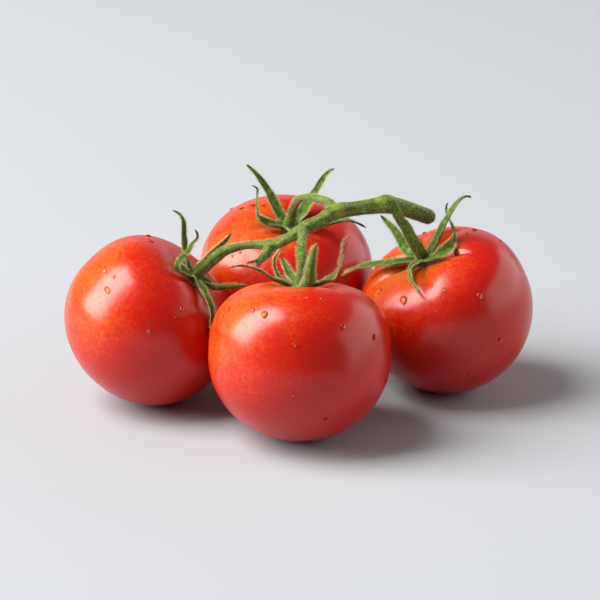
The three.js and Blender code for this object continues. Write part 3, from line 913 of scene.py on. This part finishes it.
def sepal_material():
    g = Graph("sepal_green")
    across, along = g.attribute("across"), g.attribute("along")
    width = g.math("ABSOLUTE", across)
    tone = g.noise(*SEPAL_NOISE)
    green = g.ramp(tone, SEPAL_GREENS)
    green = g.mix(g.math("MULTIPLY", g.mask(width, EDGE_RANGE), EDGE_STRENGTH), green, SEPAL_EDGE)
    green = g.mix(g.math("MULTIPLY", g.mask(width, RIB_RANGE), RIB_STRENGTH), green, SEPAL_LIGHT)
    dry = g.ramp(g.attribute("tone"), DRY_TONES)
    colour = g.mix(g.attribute("dried"), green, dry)
    drawn_out = g.node("ShaderNodeCombineXYZ", {
        "X": g.math("MULTIPLY", across, VEINS_ACROSS), "Y": g.math("MULTIPLY", along, VEINS_ALONG),
    })
    veins = g.noise(*VEIN_NOISE, drawn_out.outputs["Vector"])
    g.bump(g.math("ADD", veins, tone), *SEPAL_BUMP)
    return g.finish(
        Base_Color=colour, Subsurface_Weight=0.05, Subsurface_Radius=(0.4, 1.0, 0.2),
        Subsurface_Scale=0.001, **GREEN_SURFACE,
    )


# Stalks
STALK_DARK = (0.024, 0.050, 0.003, 1)
STALK_LIGHT = (0.14, 0.235, 0.024, 1)
STALK_FROST = (0.42, 0.52, 0.24, 1)
STALK_COLLAR = (0.44, 0.54, 0.04, 1)
# Brown of the random patches and the cut end, also used as painted shade on the undersides.
STALK_BROWN_AND_SHADE = (0.085, 0.062, 0.018, 1)
STALK_NOISE = (620.0, 4.0, 0.75)
STALK_GREENS = [(0.29, STALK_DARK), (0.56, STALK_LIGHT), (0.74, STALK_FROST)]
# Random brown patches on the stalks.
SHADE_NOISE = (70.0, 2.0, 0.5)
SHADE_RANGE = [(0.40, 0), (0.62, 1)]
SHADE_STRENGTH = 0.35
# How strongly the undersides are painted darker and browner: painted shade.
PAINTED_UNDERSIDE_SHADE = 0.75
STALK_BUMP = (0.9, 0.0004)


def stalk_material():
    g = Graph("stalk_green")
    tone = g.noise(*STALK_NOISE)
    green = g.ramp(tone, STALK_GREENS)
    patches = g.mask(g.noise(*SHADE_NOISE), SHADE_RANGE)
    green = g.mix(g.math("MULTIPLY", patches, SHADE_STRENGTH), green, STALK_BROWN_AND_SHADE)
    # Painted shade on the undersides of the stalks.
    green = g.mix(g.math("MULTIPLY", g.attribute("painted_underside_shade"), PAINTED_UNDERSIDE_SHADE), green, STALK_BROWN_AND_SHADE)
    green = g.mix(g.attribute("collar"), green, STALK_COLLAR)
    green = g.mix(g.attribute("cut"), green, STALK_BROWN_AND_SHADE)
    colour = g.mix(g.attribute("dried"), green, DRY_BROWN)
    g.bump(tone, *STALK_BUMP)
    return g.finish(Base_Color=colour, **GREEN_SURFACE)


HAIR_COLOUR = (0.60, 0.66, 0.30, 1)


def hair_material():
    return Graph("plant_hair").finish(Base_Color=HAIR_COLOUR, Roughness=0.5, Specular_IOR_Level=0.2)


# Water
DROP_GLOW = (0.95, 0.42, 0.16, 1)
DROP_GLOW_RANGE = [(0.0, 0), (0.55, 1), (0.8, 0)]
DROP_GLOW_STRENGTH = 0.7
DROP_SHADE = (0.10, 0.012, 0.003, 1)
DROP_SHADE_RANGE = [(0.66, 0), (0.95, 1)]
DROP_SHADE_STRENGTH = 0.85


def water_material():
    """A drop as a small lens on the skin: lit on the side away from the light, dark at its rim."""
    g = Graph("water")
    # The drop's colour includes the skin's painted light on the side towards the main light.
    body = g.ramp(blush_and_painted_light(g), RIPENESS_AND_PAINTED_LIGHT)
    glow = g.mask(g.attribute("lens"), DROP_GLOW_RANGE)
    shade = g.mask(g.attribute("rim"), DROP_SHADE_RANGE)
    colour = g.mix(g.math("MULTIPLY", glow, DROP_GLOW_STRENGTH), body, DROP_GLOW)
    colour = g.mix(g.math("MULTIPLY", shade, DROP_SHADE_STRENGTH), colour, DROP_SHADE)
    return g.finish(Base_Color=colour, Roughness=0.04, IOR=1.33)


# Floor, light and camera, in metres

FLOOR_HALF = 6.0
FLOOR_COLOUR = (0.428, 0.445, 0.465, 1)

# Soft panels: direction and distance from the point they are aimed at, size and power.
LIGHTS = [
    dict(
        name="key", azimuth=186, elevation=41, distance=2.4, width=1.5, height=2.8,
        power=158, colour=(1, 0.99, 0.98),
    ),
    dict(
        name="panel", azimuth=12, elevation=18, distance=1.6, width=2.7, height=1.2,
        power=18, colour=(1, 0.97, 0.93),
    ),
    dict(
        name="backdrop", azimuth=90, elevation=16, distance=2.4, width=3.0, height=1.1,
        power=5, colour=(1, 1, 1),
    ),
]
LIGHT_AIM = (0, 0, 0.03)
STUDIO_COLOUR = (0.98, 0.98, 0.98, 1)
STUDIO_STRENGTH = 0.15

# The photograph was taken from straight in front, looking down at the middle of the truss.
CAMERA_AIM = (np.array([-0.3, -10.1, 42.0]) + CENTRING) * MM
CAMERA_ELEVATION = 20
CAMERA_DISTANCE = 1.02
FOCAL_PIXELS = 2718.4
IMAGE_PIXELS = 600
SENSOR_WIDTH = 36


def add_floor():
    look = Graph("floor").finish(Base_Color=FLOOR_COLOUR, Roughness=0.75, Specular_IOR_Level=0.25)
    corners = [(-1, -1), (1, -1), (1, 1), (-1, 1)]
    mesh = bpy.data.meshes.new("floor")
    mesh.from_pydata([(FLOOR_HALF * x, FLOOR_HALF * y, 0) for x, y in corners], [], [(0, 1, 2, 3)])
    mesh.materials.append(look)
    floor = bpy.data.objects.new("floor", mesh)
    bpy.context.scene.collection.objects.link(floor)


def place_looking(thing, aim, azimuth, elevation, distance):
    """Puts a light or a camera in this direction from the point it looks at."""
    a, e = math.radians(azimuth), math.radians(elevation)
    way = Vector((math.cos(e) * math.cos(a), math.cos(e) * math.sin(a), math.sin(e)))
    thing.location = Vector(aim) + way * distance
    thing.rotation_euler = way.to_track_quat("Z", "Y").to_euler()
    bpy.context.scene.collection.objects.link(thing)


def add_panel(name, azimuth, elevation, distance, width, height, power, colour):
    light = bpy.data.lights.new(name, "AREA")
    light.shape = "RECTANGLE"
    light.size = width
    light.size_y = height
    light.energy = power
    light.color = colour
    place_looking(bpy.data.objects.new(name, light), LIGHT_AIM, azimuth, elevation, distance)


def add_light():
    for light in LIGHTS:
        add_panel(**light)
    world = bpy.data.worlds.new("studio")
    world.use_nodes = True
    background = world.node_tree.nodes["Background"]
    background.inputs["Color"].default_value = STUDIO_COLOUR
    background.inputs["Strength"].default_value = STUDIO_STRENGTH
    bpy.context.scene.world = world


def add_camera():
    data = bpy.data.cameras.new("camera")
    data.sensor_width = SENSOR_WIDTH
    data.lens = FOCAL_PIXELS * SENSOR_WIDTH / IMAGE_PIXELS
    camera = bpy.data.objects.new("camera", data)
    place_looking(camera, CAMERA_AIM, -90, CAMERA_ELEVATION, CAMERA_DISTANCE)
    bpy.context.scene.camera = camera


def set_colours():
    """Plain sRGB, so that the named colours look as they are given."""
    view = bpy.context.scene.view_settings
    view.view_transform = "Standard"
    view.look = "None"


places = {fruit["name"]: fruit_frame(fruit) for fruit in FRUITS}
skin_look, sepal_look, stalk_look = tomato_material(), sepal_material(), stalk_material()
hair_look, water_look = hair_material(), water_material()
for fruit in FRUITS:
    place = places[fruit["name"]]
    dress_fruit(fruit, place, skin_look)
    dress_calyx(fruit, place, sepal_look, hair_look)
    dress_drops(fruit, place, water_look)
dress_vine(places, stalk_look, hair_look)
add_floor()
add_light()
add_camera()
set_colours()
